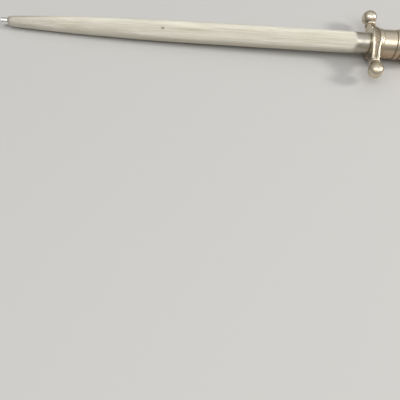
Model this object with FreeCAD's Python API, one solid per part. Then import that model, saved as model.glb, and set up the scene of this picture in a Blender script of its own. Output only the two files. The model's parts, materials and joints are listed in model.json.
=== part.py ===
"""Carving-set sharpening steel with a stag-antler handle, lying on a table.

Every piece is modelled about the steel's own axis: X runs along it, from the tip (-X) to the butt (+X),
with X = 0 on the front face of the crossguard. The finished assembly is then tilted and lifted as one,
so that the rod and the butt cap both touch the table plane Z = 0, and centred over the origin.
"""
import FreeCAD, Part
import math
import os

from FreeCAD import Vector

# ---- driving dimensions, millimetres ----
# Rod, measured from the nib's end
ROD_LENGTH = 203.0
ROD_RADIUS = 5.65
NIB_LENGTH = 4.0
NIB_RADIUS = 1.8
NIB_CHAMFER = 0.3
NOSE_RADIUS = 2.3
NOSE_LENGTH = 3.2
NOSE_ROUNDNESS = 0.12
OGIVE_START_RADIUS = 2.85
OGIVE_MIDDLE_RADIUS = 5.0
OGIVE_LENGTH = 104.0
NECK_LENGTH = 6.2
NECK_RADIUS = 5.35
NECK_STEP = 0.6
RIBS_END_RADIUS = 5.5
RIBS_END_TAPER = 10.0

# Tang: a stout root through the guard and ferrule, then a slim rod with a threaded end
TANG_ROOT_RADIUS = 3.0
TANG_RADIUS = 2.5
TANG_CHAMFER = 0.5
FIT_GAP = 0.05

# Crossguard
GUARD_THICKNESS = 5.1
GUARD_HALF_HEIGHT = 8.3
GUARD_FLAT_HALF_SPAN = 3.0
WAIST_REACH = 8.8
WAIST_HALF_THICKNESS = 1.95
ARM_REACH = 13.3
ARM_HALF_THICKNESS = 2.5
ARM_HALF_HEIGHT = 2.2
ARM_FLARE = 0.35
FLUTE_DEPTH = 0.7
FLUTE_END_HALF_WIDTH = 0.15
RIM_WIDTH = 0.9
COLLAR_RADIUS = 2.9
COLLAR_HALF_WIDTH = 0.75
COLLAR_ROUNDNESS = 0.9
NECKLET_RADIUS = 2.0
BALL_REACH = 18.85
BALL_RADIUS = 4.05

# Ferrule
FERRULE_LENGTH = 16.0
FERRULE_RADIUS = 7.55
FERRULE_BORE_RADIUS = 6.7
FERRULE_FRONT_WALL = 1.2
FLANGE_RADIUS = 8.05
FLANGE_WIDTH = 0.6
GROOVE_AT = 8.0
GROOVE_WIDTH = 0.7
GROOVE_DEPTH = 0.4
BEAD_WIDTH = 2.4
BEAD_RISE = 0.35
LIP_WIDTH = 1.2
LIP_RISE = 0.3

# Stag handle
GRIP_LENGTH = 112.0
GRIP_FRONT_HALF_WIDTH = 9.3
GRIP_FRONT_HALF_HEIGHT = 9.1
GRIP_BUTT_HALF_WIDTH = 13.5
GRIP_BUTT_HALF_HEIGHT = 12.1
GRIP_WIDTH_FLARE = 1.5
GRIP_HEIGHT_FLARE = 1.3
GRIP_BOW = 3.2
BUTT_OFFSET = 1.2
GRIP_ROUNDING = 3.5
GRIP_FRONT_ROUNDING_SHARE = 0.08
GRIP_BUTT_ROUNDING_SHARE = 0.02
OVAL_ARC_SHARE = 2.2
CEMENT_RADIUS = 4.2
CEMENT_END = 96.0

# Butt cap and the fixings under it
CAP_LENGTH = 6.2
CAP_WALL = 1.1
CAP_END_WALL = 1.6
CAP_FLARE = 0.25
CAP_EDGE_ROUND = 0.9
SPIGOT_GAP = 0.1
SPIGOT_SHORT = 0.2
COUNTERBORE_RADIUS = 5.2
WASHER_RADIUS = 4.6
WASHER_THICKNESS = 0.8
NUT_ACROSS_FLATS = 8.0
NUT_HEIGHT = 3.0
THREAD_SHOWING = 0.8

# ---- places along the axis that follow from them ----
GUARD_BACK = GUARD_THICKNESS
FERRULE_FRONT = GUARD_BACK
FERRULE_BACK = FERRULE_FRONT + FERRULE_LENGTH
GRIP_FRONT = FERRULE_BACK
GRIP_BACK = GRIP_FRONT + GRIP_LENGTH
CAP_INSIDE = GRIP_BACK + CAP_LENGTH - CAP_END_WALL
CAP_BACK = GRIP_BACK + CAP_LENGTH
SPIGOT_BACK = CAP_INSIDE - SPIGOT_SHORT
TANG_BACK = SPIGOT_BACK - SPIGOT_SHORT
NUT_FRONT = TANG_BACK - THREAD_SHOWING - NUT_HEIGHT
COUNTERBORE_FRONT = NUT_FRONT - WASHER_THICKNESS

# How far a cutting or joining solid runs past the face it meets
OVERLAP = 1.0

AXIS = Vector(1, 0, 0)
ORIGIN = Vector(0, 0, 0)


# ---- helpers ----
def line(start, end):
    return Part.LineSegment(start, end).toShape()


def arc(start, middle, end):
    return Part.Arc(start, middle, end).toShape()


def at(x, radius):
    """A point of a turned outline: distance along the axis and radius."""
    return Vector(x, 0, radius)


def turned(edges):
    """The solid swept by an outline that runs from axis to axis, or round a ring."""
    first = edges[0].Vertexes[0].Point
    last = edges[-1].Vertexes[-1].Point
    if first.distanceToPoint(last) > 1e-6:
        edges = edges + [line(last, first)]
    return Part.Face(Part.Wire(edges)).revolve(ORIGIN, AXIS, 360)


def polyline(points):
    return [line(a, b) for a, b in zip(points, points[1:])]


def cylinder(radius, x_start, x_end):
    return Part.makeCylinder(radius, x_end - x_start, Vector(x_start, 0, 0), AXIS)


def ring(outer, inner, x_start, x_end):
    return cylinder(outer, x_start, x_end).cut(cylinder(inner, x_start, x_end))


def mirrored_pair(shape):
    """The shape and its mirror image across the steel's middle plane, Y = 0."""
    return [shape, shape.mirror(ORIGIN, Vector(0, 1, 0))]


def oval(x, centre_y, half_width, half_height):
    """An upright oval of four tangent arcs: broad ones above and below, tighter ones at the sides."""
    broad = OVAL_ARC_SHARE * half_height
    tight = (2 * broad * half_height - half_width**2 - half_height**2) / (2 * (broad - half_width))
    angle = math.atan2(half_width - tight, broad - half_height)
    join_y = broad * math.sin(angle)
    join_z = broad * math.cos(angle) - (broad - half_height)
    corners = [(join_y, join_z), (join_y, -join_z), (-join_y, -join_z), (-join_y, join_z)]
    middles = [(half_width, 0), (0, -half_height), (-half_width, 0), (0, half_height)]
    edges = []
    for i, (y, z) in enumerate(middles):
        start = Vector(x, centre_y + corners[i][0], corners[i][1])
        after = corners[(i + 1) % 4]
        end = Vector(x, centre_y + after[0], after[1])
        edges.append(arc(start, Vector(x, centre_y + y, z), end))
    return Part.Wire(edges)


# ---- rod ----
def steel_rod():
    """One forging: polished nib, ribbed ogive and shank, polished neck, and the tang inside the handle."""
    tip = -ROD_LENGTH
    nose = tip + NIB_LENGTH
    ogive = nose + NOSE_LENGTH
    shank = ogive + OGIVE_LENGTH
    ribs_end = -NECK_LENGTH
    taper = ribs_end - RIBS_END_TAPER
    nib = polyline([
        at(tip, 0),
        at(tip, NIB_RADIUS - NIB_CHAMFER),
        at(tip + NIB_CHAMFER, NIB_RADIUS),
        at(nose, NIB_RADIUS),
        at(nose, NOSE_RADIUS),
    ])
    nose_rise = OGIVE_START_RADIUS - NOSE_RADIUS
    nose_middle = at(nose + NOSE_LENGTH / 2, NOSE_RADIUS + nose_rise / 2 + NOSE_ROUNDNESS)
    ogive_middle = at((ogive + shank) / 2, OGIVE_MIDDLE_RADIUS)
    taper_in = [
        arc(at(nose, NOSE_RADIUS), nose_middle, at(ogive, OGIVE_START_RADIUS)),
        arc(at(ogive, OGIVE_START_RADIUS), ogive_middle, at(shank, ROD_RADIUS)),
    ]
    shank_and_tang = polyline([
        at(shank, ROD_RADIUS),
        at(taper, ROD_RADIUS),
        at(ribs_end - NECK_STEP, RIBS_END_RADIUS),
        at(ribs_end, NECK_RADIUS),
        at(0, NECK_RADIUS),
        at(0, TANG_ROOT_RADIUS),
        at(FERRULE_BACK, TANG_ROOT_RADIUS),
        at(FERRULE_BACK + TANG_CHAMFER, TANG_RADIUS),
        at(TANG_BACK - TANG_CHAMFER, TANG_RADIUS),
        at(TANG_BACK, TANG_RADIUS - TANG_CHAMFER),
        at(TANG_BACK, 0),
    ])
    return turned(nib + taper_in + shank_and_tang)


# ---- crossguard ----
GUARD_MIDDLE = GUARD_THICKNESS / 2
ACROSS = Vector(0, 1, 0)


def tangent_curve(start, start_direction, end, end_direction):
    curve = Part.BSplineCurve()
    curve.interpolate([start, end], InitialTangent=start_direction, FinalTangent=end_direction)
    return curve.toShape()


def guard_side(half_crown, half_waist, half_end):
    """One front corner of the guard's plan: straight by the rod, waisted, then flaring to the collar."""
    crown = Vector(-half_crown, GUARD_FLAT_HALF_SPAN, 0)
    waist = Vector(-half_waist, WAIST_REACH, 0)
    end = Vector(-half_end, ARM_REACH, 0)
    flare = Vector(-ARM_FLARE, 1, 0) if half_end > half_waist else Vector(ARM_FLARE, 1, 0)
    return [
        line(Vector(-half_crown, 0, 0), crown),
        tangent_curve(crown, ACROSS, waist, ACROSS),
        tangent_curve(waist, ACROSS, end, flare),
        line(end, Vector(0, ARM_REACH, 0)),
    ]


def guard_plan(half_crown, half_waist, half_end):
    """The guard seen from above, extruded: the same outline in all four corners about its middle."""
    side = guard_side(half_crown, half_waist, half_end)
    half = side + [edge.mirror(ORIGIN, AXIS) for edge in side]
    whole = half + [edge.mirror(ORIGIN, ACROSS) for edge in half]
    outline = Part.Wire(Part.__sortEdges__(whole))
    tall = 3 * GUARD_HALF_HEIGHT
    return Part.Face(outline).extrude(Vector(0, 0, tall)).translated(Vector(GUARD_MIDDLE, 0, -tall / 2))


def guard_elevation(inset):
    """The guard seen along the rod: a lens that draws in with a soft ogee to the slim arms."""
    height = GUARD_HALF_HEIGHT - inset
    arm = ARM_HALF_HEIGHT - inset
    x = -GUARD_THICKNESS
    peak = Vector(x, 0, height)
    tip = Vector(x, ARM_REACH, arm)
    crown = tangent_curve(peak, ACROSS, tip, ACROSS)
    upper = [crown, crown.mirror(ORIGIN, ACROSS)]
    lower = [edge.mirror(ORIGIN, Vector(0, 0, 1)) for edge in upper]
    ends = [
        line(tip, Vector(x, ARM_REACH, -arm)),
        line(Vector(x, -ARM_REACH, arm), Vector(x, -ARM_REACH, -arm)),
    ]
    outline = Part.Wire(Part.__sortEdges__(upper + lower + ends))
    return Part.Face(outline).extrude(Vector(3 * GUARD_THICKNESS, 0, 0))


def finial():
    """The collar bead, short necklet and ball at the +Y arm's end."""
    ball = Part.makeSphere(BALL_RADIUS, Vector(GUARD_MIDDLE, BALL_REACH, 0))
    collar_start = Vector(GUARD_MIDDLE, ARM_REACH - COLLAR_HALF_WIDTH, 0)
    necklet = Part.makeCylinder(NECKLET_RADIUS, BALL_REACH - collar_start.y, collar_start, ACROSS)
    collar = Part.makeCylinder(COLLAR_RADIUS, 2 * COLLAR_HALF_WIDTH, collar_start, ACROSS)
    rims = [edge for edge in collar.Edges if edge.Curve.TypeId == "Part::GeomCircle"]
    collar = collar.makeFillet(COLLAR_HALF_WIDTH * COLLAR_ROUNDNESS, rims)
    return ball.fuse([necklet, collar])


def crossguard():
    """One nickel-silver casting: fluted bar, waisted arms, collars and ball finials."""
    bar = guard_plan(GUARD_MIDDLE, WAIST_HALF_THICKNESS, ARM_HALF_THICKNESS).common(guard_elevation(0))
    channel = guard_plan(GUARD_MIDDLE - RIM_WIDTH, WAIST_HALF_THICKNESS - RIM_WIDTH, FLUTE_END_HALF_WIDTH)
    fluted = bar.cut(channel.cut(guard_elevation(FLUTE_DEPTH)))
    tang_hole = cylinder(TANG_ROOT_RADIUS + FIT_GAP, -OVERLAP, GUARD_BACK + OVERLAP)
    return fluted.fuse(mirrored_pair(finial())).cut(tang_hole).removeSplitter()


# ---- ferrule ----
def groove(x):
    """A shallow turned groove whose front edge is at x."""
    floor = FERRULE_RADIUS - GROOVE_DEPTH
    slope = GROOVE_WIDTH / 5
    return polyline([
        at(x, FERRULE_RADIUS),
        at(x + slope, floor),
        at(x + GROOVE_WIDTH - slope, floor),
        at(x + GROOVE_WIDTH, FERRULE_RADIUS),
    ])


def bead(x, width, rise):
    """A rounded bead standing proud of the ferrule from x on."""
    top = at(x + width / 2, FERRULE_RADIUS + rise)
    return [arc(at(x, FERRULE_RADIUS), top, at(x + width, FERRULE_RADIUS))]


def ferrule():
    """A drawn nickel-silver cup over the handle's front end, with turned rings."""
    x = FERRULE_FRONT
    flange_back = x + FLANGE_WIDTH
    cove_back = flange_back + FLANGE_WIDTH
    first_groove = x + GROOVE_AT
    ring_front = first_groove + GROOVE_WIDTH
    second_groove = ring_front + BEAD_WIDTH
    band_front = second_groove + GROOVE_WIDTH
    lip = FERRULE_BACK - LIP_WIDTH
    hole = TANG_ROOT_RADIUS + FIT_GAP
    flange_rise = FLANGE_RADIUS - FERRULE_RADIUS
    cove_middle = at((flange_back + cove_back) / 2, FERRULE_RADIUS + flange_rise / 4)
    outside = polyline([at(x, hole), at(x, FLANGE_RADIUS), at(flange_back, FLANGE_RADIUS)])
    outside += [arc(at(flange_back, FLANGE_RADIUS), cove_middle, at(cove_back, FERRULE_RADIUS))]
    outside += polyline([at(cove_back, FERRULE_RADIUS), at(first_groove, FERRULE_RADIUS)])
    outside += groove(first_groove) + bead(ring_front, BEAD_WIDTH, BEAD_RISE) + groove(second_groove)
    outside += polyline([at(band_front, FERRULE_RADIUS), at(lip, FERRULE_RADIUS)])
    outside += bead(lip, LIP_WIDTH, LIP_RISE)
    inside = polyline([
        at(FERRULE_BACK, FERRULE_RADIUS),
        at(FERRULE_BACK, FERRULE_BORE_RADIUS),
        at(x + FERRULE_FRONT_WALL, FERRULE_BORE_RADIUS),
        at(x + FERRULE_FRONT_WALL, hole),
        at(x, hole),
    ])
    return turned(outside + inside)


# ---- handle ----
def grip_section(x):
    """The antler's oval at a distance along the axis: flaring to the butt, bowed, and eased at both ends."""
    share = (x - GRIP_FRONT) / GRIP_LENGTH
    width_gain = GRIP_BUTT_HALF_WIDTH - GRIP_FRONT_HALF_WIDTH
    height_gain = GRIP_BUTT_HALF_HEIGHT - GRIP_FRONT_HALF_HEIGHT
    width = GRIP_FRONT_HALF_WIDTH + width_gain * share**GRIP_WIDTH_FLARE
    height = GRIP_FRONT_HALF_HEIGHT + height_gain * share**GRIP_HEIGHT_FLARE
    centre_y = GRIP_BOW * math.sin(math.pi * share) + BUTT_OFFSET * share
    front = min(1.0, (x - GRIP_FRONT) / GRIP_ROUNDING)
    butt = min(1.0, (GRIP_BACK - x) / GRIP_ROUNDING)
    front_loss = GRIP_FRONT_ROUNDING_SHARE * (1 - front) ** 2
    butt_loss = GRIP_BUTT_ROUNDING_SHARE * (1 - butt) ** 2
    ease = 1 - front_loss - butt_loss
    return oval(x, centre_y, width * ease, height * ease)


def grip_stations():
    """Where the oval is drawn: close together over the eased ends, evenly between them."""
    close = [GRIP_ROUNDING * share for share in (0, 0.2, 0.5, 1)]
    front = [GRIP_FRONT + step for step in close]
    butt = [GRIP_BACK - step for step in reversed(close)]
    spans = 10
    gap = (butt[0] - front[-1]) / spans
    between = [front[-1] + gap * i for i in range(1, spans)]
    return front + between + butt


def butt_oval(x, grow):
    """The oval of the handle's butt end, grown or shrunk all round."""
    width = GRIP_BUTT_HALF_WIDTH + grow
    height = GRIP_BUTT_HALF_HEIGHT + grow
    return oval(x, BUTT_OFFSET, width, height)


def stag_grip():
    """Antler handle: turned spigots at both ends, drilled for the tang and counterbored for its nut."""
    body = Part.makeLoft([grip_section(x) for x in grip_stations()], True, False)
    front_spigot = cylinder(FERRULE_BORE_RADIUS, FERRULE_FRONT + FERRULE_FRONT_WALL, GRIP_FRONT + OVERLAP)
    root = GRIP_BACK - OVERLAP
    butt_spigot = Part.Face(butt_oval(root, -CAP_WALL - SPIGOT_GAP)).extrude(Vector(SPIGOT_BACK - root, 0, 0))
    solid = body.fuse([front_spigot, butt_spigot])
    bores = [
        cylinder(CEMENT_RADIUS, FERRULE_FRONT, CEMENT_END),
        cylinder(TANG_RADIUS + FIT_GAP, CEMENT_END - OVERLAP, COUNTERBORE_FRONT + OVERLAP),
        cylinder(COUNTERBORE_RADIUS, COUNTERBORE_FRONT, CAP_BACK),
    ]
    return solid.cut(bores).removeSplitter()


def tang_cement():
    """Cutler's cement set round the tang inside the antler."""
    start = FERRULE_FRONT + FERRULE_FRONT_WALL
    fill = cylinder(CEMENT_RADIUS, start, CEMENT_END)
    tang = cylinder(TANG_ROOT_RADIUS, start, FERRULE_BACK)
    tail = cylinder(TANG_RADIUS, start, CEMENT_END)
    shoulder = Part.makeCone(TANG_ROOT_RADIUS, TANG_RADIUS, TANG_CHAMFER, Vector(FERRULE_BACK, 0, 0), AXIS)
    return fill.cut([tang, tail, shoulder])


# ---- butt ----
def tang_washer():
    return ring(WASHER_RADIUS, TANG_RADIUS + FIT_GAP, COUNTERBORE_FRONT, NUT_FRONT)


def hexagon_prism():
    corner = NUT_ACROSS_FLATS / math.sqrt(3)
    angles = [math.radians(60 * i) for i in range(7)]
    points = [Vector(NUT_FRONT, corner * math.cos(a), corner * math.sin(a)) for a in angles]
    return Part.Face(Part.makePolygon(points)).extrude(Vector(NUT_HEIGHT, 0, 0))


def tang_nut():
    """Hexagon nut that draws the handle, ferrule and guard up against the rod's shoulder."""
    return hexagon_prism().cut(cylinder(TANG_RADIUS, NUT_FRONT - OVERLAP, TANG_BACK))


def cap_cement():
    """Cement that fills the counterbore round the nut and holds the cap."""
    fill = cylinder(COUNTERBORE_RADIUS, COUNTERBORE_FRONT, CAP_INSIDE)
    return fill.cut([
        cylinder(WASHER_RADIUS, COUNTERBORE_FRONT - OVERLAP, NUT_FRONT),
        hexagon_prism(),
        cylinder(TANG_RADIUS, NUT_FRONT, TANG_BACK),
    ])


def butt_cap():
    """Shallow nickel-silver cup over the antler's butt, a little wider at its closed end."""
    outer = Part.makeLoft([butt_oval(GRIP_BACK, 0), butt_oval(CAP_BACK, CAP_FLARE)], True, True)
    rim = [edge for edge in outer.Edges if edge.BoundBox.XMin > CAP_BACK - CAP_EDGE_ROUND]
    outer = outer.makeFillet(CAP_EDGE_ROUND, rim)
    mouth = Part.Face(butt_oval(GRIP_BACK, -CAP_WALL))
    return outer.cut(mouth.extrude(Vector(CAP_INSIDE - GRIP_BACK, 0, 0)))


# ---- resting pose ----
def lowest(shape, tilt):
    """The lowest height of a shape once the whole steel is tilted butt-up by so many degrees."""
    leaning = shape.copy()
    leaning.rotate(ORIGIN, Vector(0, 1, 0), -tilt)
    return leaning.optimalBoundingBox(False).ZMin


def resting_tilt(rod, cap):
    """The tilt at which the rod and the butt cap touch the table together."""
    low, high = 0.0, 4.0
    while high - low > 1e-5:
        middle = (low + high) / 2
        if lowest(cap, middle) < lowest(rod, middle):
            low = middle
        else:
            high = middle
    return low


def main():
    parts = {
        "steel_rod": steel_rod(),
        "crossguard": crossguard(),
        "ferrule": ferrule(),
        "stag_grip": stag_grip(),
        "tang_cement": tang_cement(),
        "tang_washer": tang_washer(),
        "tang_nut": tang_nut(),
        "cap_cement": cap_cement(),
        "butt_cap": butt_cap(),
    }
    tilt = resting_tilt(parts["steel_rod"], parts["butt_cap"])
    whole = Part.makeCompound(list(parts.values()))
    whole.rotate(ORIGIN, Vector(0, 1, 0), -tilt)
    box = whole.optimalBoundingBox(False)
    shift = Vector(-(box.XMin + box.XMax) / 2, -(box.YMin + box.YMax) / 2, -box.ZMin)
    os.makedirs("parts", exist_ok=True)
    for name, shape in parts.items():
        shape.rotate(ORIGIN, Vector(0, 1, 0), -tilt)
        shape.translate(shift)
        shape.exportStep(os.path.join("parts", name + ".step"))
        state = "valid" if shape.isValid() else "INVALID"
        print(name, state, len(shape.Solids), "solid", round(shape.Volume, 1), "mm3")
    seat = [round(c, 4) for c in shift]
    print("tilt", round(tilt, 4), "degrees; centre of the guard's front face", seat)


main()
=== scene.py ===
"""Looks for the carving-set sharpening steel, lying on a pale table.

Five meshes stand for the CAD nodes that show: ribbed rod, fluted crossguard, ringed ferrule, stag handle
and butt cap. Each is built from rings of points in the steel's own axis frame, in millimetres, and then
moved into place. The cements, washer and nut inside the handle stay as CAD shapes and only get materials.
"""

import json
import math

import bpy
import numpy as np
from mathutils import Matrix, Vector

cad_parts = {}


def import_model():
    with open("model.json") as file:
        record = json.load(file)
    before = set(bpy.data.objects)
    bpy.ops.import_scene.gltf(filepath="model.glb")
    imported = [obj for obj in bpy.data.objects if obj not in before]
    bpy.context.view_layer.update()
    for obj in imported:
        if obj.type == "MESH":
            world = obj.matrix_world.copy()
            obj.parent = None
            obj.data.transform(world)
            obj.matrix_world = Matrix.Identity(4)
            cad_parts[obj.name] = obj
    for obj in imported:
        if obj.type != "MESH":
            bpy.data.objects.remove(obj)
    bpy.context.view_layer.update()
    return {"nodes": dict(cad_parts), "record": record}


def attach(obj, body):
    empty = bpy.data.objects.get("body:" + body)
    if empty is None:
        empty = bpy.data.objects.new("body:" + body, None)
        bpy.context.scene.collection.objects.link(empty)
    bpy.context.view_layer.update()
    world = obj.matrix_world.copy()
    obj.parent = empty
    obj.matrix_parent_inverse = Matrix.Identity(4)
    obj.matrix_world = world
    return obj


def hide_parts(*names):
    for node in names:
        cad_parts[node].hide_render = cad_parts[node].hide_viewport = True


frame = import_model()

# ---- the steel's own axis, from the shank's mount: X to the butt, origin on the guard's front face ----
MM = 0.001
SHANK = next(mount for mount in frame["record"]["mounts"] if mount["name"] == "rod_shank")
SHANK_MIDDLE_TO_GUARD = 54.0
TO_BUTT = -Vector(SHANK["axis"]).normalized()
SIDEWAYS = Vector((0, 1, 0))
UPWARDS = TO_BUTT.cross(SIDEWAYS)
SEAT = Vector(SHANK["pos_m"]) + TO_BUTT * SHANK_MIDDLE_TO_GUARD * MM
AXIS_FRAME = Matrix.Translation(SEAT) @ Matrix((TO_BUTT, SIDEWAYS, UPWARDS)).transposed().to_4x4()

# ---- rod, millimetres ----
ROD_LENGTH = 203.0
ROD_RADIUS = SHANK["dims"]["r_mm"]
NIB_LENGTH = 4.0
NIB_RADIUS = 1.8
NIB_EDGE_ROUND = 0.3
NIB_FOOT_INSET = 0.25
NOSE_RADIUS = 2.3
NOSE_LENGTH = 3.2
NOSE_ROUNDNESS = 0.12
NOSE_EDGE_ROUND = 0.1
OGIVE_START_RADIUS = 2.85
OGIVE_MIDDLE_RADIUS = 5.0
OGIVE_LENGTH = 104.0
NECK_LENGTH = 6.2
NECK_RADIUS = 5.35
NECK_STEP = 0.6
NECK_STEP_RATE = 1.4
NECK_EDGE_LENGTH = 0.05
NECK_EDGE_DROP = 0.1
RIBS_END_RADIUS = 5.5
RIBS_END_TAPER = 10.0
TANG_ROOT_RADIUS = 3.0
TANG_RADIUS = 2.5
TANG_CHAMFER = 0.5
TANG_BACK = 137.3
FIT_GAP = 0.05

# Ribs: they deepen over the nose and the ogive's start, and fade out at the end of the taper. A rate of 3
# says that the change is over a third of the way along its stretch.
RIB_COUNT = 84
RIB_DEPTH = 0.14
POINTS_PER_RIB = 6
RIB_SHARE_AT_OGIVE = 0.55
NOSE_RIB_RATE = 1.4
OGIVE_RIB_RATE = 3.0
RIBS_FADE_FROM = 0.78

# Places along the axis that follow
ROD_TIP = -ROD_LENGTH
NOSE_FRONT = ROD_TIP + NIB_LENGTH
OGIVE_FRONT = NOSE_FRONT + NOSE_LENGTH
SHANK_FRONT = OGIVE_FRONT + OGIVE_LENGTH
TAPER_FRONT = -NECK_LENGTH - RIBS_END_TAPER
NECK_FRONT = -NECK_LENGTH - NECK_STEP

# ---- crossguard ----
GUARD_THICKNESS = 5.1
GUARD_MIDDLE = GUARD_THICKNESS / 2
GUARD_HALF_HEIGHT = 8.3
GUARD_FLAT_HALF_SPAN = 3.0
WAIST_REACH = 8.8
WAIST_HALF_THICKNESS = 1.95
ARM_REACH = 13.3
ARM_HALF_THICKNESS = 2.5
ARM_HALF_HEIGHT = 2.2
ARM_FLARE_POWER = 1.6
ARM_ROUND_FROM = WAIST_REACH + 1.0
ARM_END_ROUND = 1.2
ARM_TUCK_LENGTH = 0.5
ARM_TUCK = 0.25
ARM_TO_COLLAR_GAP = 0.08
FLUTE_DEPTH = 0.7
FLUTE_END_HALF_WIDTH = 0.15
FLUTE_FULL_DEPTH_HALF_WIDTH = 0.8
FLUTE_POWER = 4
RIM_WIDTH = 0.9
RIM_ROUND = 0.4
COLLAR_RADIUS = 2.9
COLLAR_HALF_WIDTH = 0.75
COLLAR_FRONT = ARM_REACH - COLLAR_HALF_WIDTH
COLLAR_BACK = ARM_REACH + COLLAR_HALF_WIDTH
NECKLET_RADIUS = 2.0
BALL_REACH = 18.85
BALL_RADIUS = 4.05
BALL_POLE_ANGLE = 0.01
SIDE_POINTS = 14
TOP_POINTS = 26

# ---- ferrule ----
FERRULE_LENGTH = 16.0
FERRULE_RADIUS = 7.55
FERRULE_BORE_RADIUS = 6.7
FERRULE_FRONT_WALL = 1.2
FERRULE_FRONT = GUARD_THICKNESS
FERRULE_INSIDE = FERRULE_FRONT + FERRULE_FRONT_WALL
FERRULE_BACK = FERRULE_FRONT + FERRULE_LENGTH
FLANGE_RADIUS = 8.05
FLANGE_WIDTH = 0.6
FLANGE_EDGE_ROUND = 0.25
GROOVE_AT = 8.0
GROOVE_WIDTH = 0.7
GROOVE_DEPTH = 0.4
GROOVE_SLOPE = 0.14
GROOVE_SHOULDER = 0.15
GROOVE_EDGE_ROUND = 0.12
BEAD_WIDTH = 2.4
BEAD_RISE = 0.35
BEAD_INSET = 0.16
BAND_INSET = 0.2
LIP_WIDTH = 1.2
LIP_RISE = 0.3
LIP_INSET = 0.05

# ---- stag handle ----
GRIP_LENGTH = 112.0
GRIP_FRONT = FERRULE_BACK
GRIP_BACK = GRIP_FRONT + GRIP_LENGTH
GRIP_FRONT_HALF_WIDTH = 9.3
GRIP_FRONT_HALF_HEIGHT = 9.1
GRIP_BUTT_HALF_WIDTH = 13.5
GRIP_BUTT_HALF_HEIGHT = 12.1
GRIP_WIDTH_FLARE = 1.5
GRIP_HEIGHT_FLARE = 1.3
GRIP_BOW = 3.2
BUTT_OFFSET = 1.2
GRIP_ROUNDING = 3.5
GRIP_FRONT_ROUNDING_SHARE = 0.08
GRIP_BUTT_ROUNDING_SHARE = 0.02
OVAL_ARC_SHARE = 2.2
CEMENT_RADIUS = 4.2
CEMENT_END = 96.0
COUNTERBORE_FRONT = 132.7
COUNTERBORE_RADIUS = 5.2
AROUND_GRIP = 404
GRIP_END_RINGS = 8
GRIP_BODY_RINGS = 211

# Bark: how deep each kind of furrow is cut, and how far the filed ivory ends reach, with the slant of
# their edges and the side it leans to; the gain brings gradient noise to about -1 to 1
NOISE_GAIN = 1.4
BROAD_FURROW_DEPTH = 0.85
MIDDLE_FURROW_DEPTH = 0.42
FINE_FURROW_DEPTH = 0.2
PEARL_DEPTH = 0.16
SWELL_DEPTH = 0.35
FRONT_IVORY = 7.5
FRONT_SLANT = -3.5
FRONT_SLANT_TURN = 0.6
BUTT_IVORY = 10.0
BUTT_SLANT = 2.5
BUTT_SLANT_TURN = 2.2
BARK_EDGE_OUT = 2.0
BARK_EDGE_IN = 2.6

# ---- butt cap ----
CAP_LENGTH = 6.2
CAP_WALL = 1.1
CAP_END_WALL = 1.6
CAP_BACK = GRIP_BACK + CAP_LENGTH
CAP_INSIDE = CAP_BACK - CAP_END_WALL
CAP_FLARE = 0.25
CAP_EDGE_ROUND = 0.9
SPIGOT_GAP = 0.1
SPIGOT_SHORT = 0.2
SPIGOT_BACK = CAP_INSIDE - SPIGOT_SHORT

# ---- grime and painted shade in the metal's recesses: how strong, 0 to 1, and how far it spreads ----
FLUTE_GRIME_AND_SHADE = 0.85
FLUTE_GRIME_AND_SHADE_WIDTH_SHARE = 0.93
FLUTE_GRIME_AND_SHADE_DEPTH_SHARE = 1.02
COLLAR_GRIME_AND_SHADE_WIDTH = 0.45
COLLAR_GRIME_AND_SHADE_POWER = 0.4
BALL_GRIME_AND_SHADE_ANGLE = 0.2
GROOVE_GRIME_AND_SHADE_FROM = 0.08
COVE_GRIME_AND_SHADE = 0.7
COVE_GRIME_AND_SHADE_RISE = (-0.1, 0.2)
COVE_GRIME_AND_SHADE_FADE = (-0.2, 0.6)

# ---- meshing ----
AROUND_METAL = 288
OVAL_SAMPLES = 3600
POLE_RADIUS = 0.02
POLE_SHARE = 0.002
DRILL_SIDES = 72
DRILL_OVERRUN = 1.0


# ---- mesh helpers ----
def ease(value):
    """Smooth step from 0 to 1."""
    value = np.clip(value, 0.0, 1.0)
    return value * value * (3 - 2 * value)


def between(low, high, value):
    """Smooth step from 0 at low to 1 at high."""
    return ease((np.asarray(value, float) - low) / (high - low))


def mark_place(mesh):
    """Store each point's place in axis-frame millimetres, which drives the materials' patterns."""
    points = np.empty(len(mesh.vertices) * 3, np.float32)
    mesh.vertices.foreach_get("co", points)
    to_axis = np.array(AXIS_FRAME.inverted())
    place = (points.reshape(-1, 3) @ to_axis[:3, :3].T + to_axis[:3, 3]) / MM
    layer = mesh.attributes.get("place") or mesh.attributes.new("place", "FLOAT_VECTOR", "POINT")
    layer.data.foreach_set("vector", place.ravel())


def ring_mesh(name, rings, facts=None, closed=False):
    """A smooth mesh in the row frame through rings of axis-frame points.

    The rings come back to the first when closed; otherwise the two ends are capped. Facts are numbers
    for each point, which the mesh carries as attributes."""
    count, around = len(rings), len(rings[0])
    points = np.asarray(rings, float).reshape(-1, 3)
    i, j = np.meshgrid(np.arange(count if closed else count - 1), np.arange(around), indexing="ij")
    i_next, j_next = (i + 1) % count, (j + 1) % around
    corners = [(i, j), (i_next, j), (i_next, j_next), (i, j_next)]
    faces = np.stack([a * around + b for a, b in corners], -1).reshape(-1, 4).tolist()
    if not closed:
        faces.append(list(range(around)))
        faces.append([(count - 1) * around + k for k in reversed(range(around))])
    mesh = bpy.data.meshes.new(name)
    mesh.from_pydata(points.tolist(), [], faces)
    for key, values in (facts or {}).items():
        layer = mesh.attributes.new(key, "FLOAT", "POINT")
        layer.data.foreach_set("value", np.asarray(values, np.float32).ravel())
    mesh.transform(AXIS_FRAME @ Matrix.Scale(MM, 4))
    mark_place(mesh)
    mesh.polygons.foreach_set("use_smooth", np.ones(len(mesh.polygons), bool))
    return mesh


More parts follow.
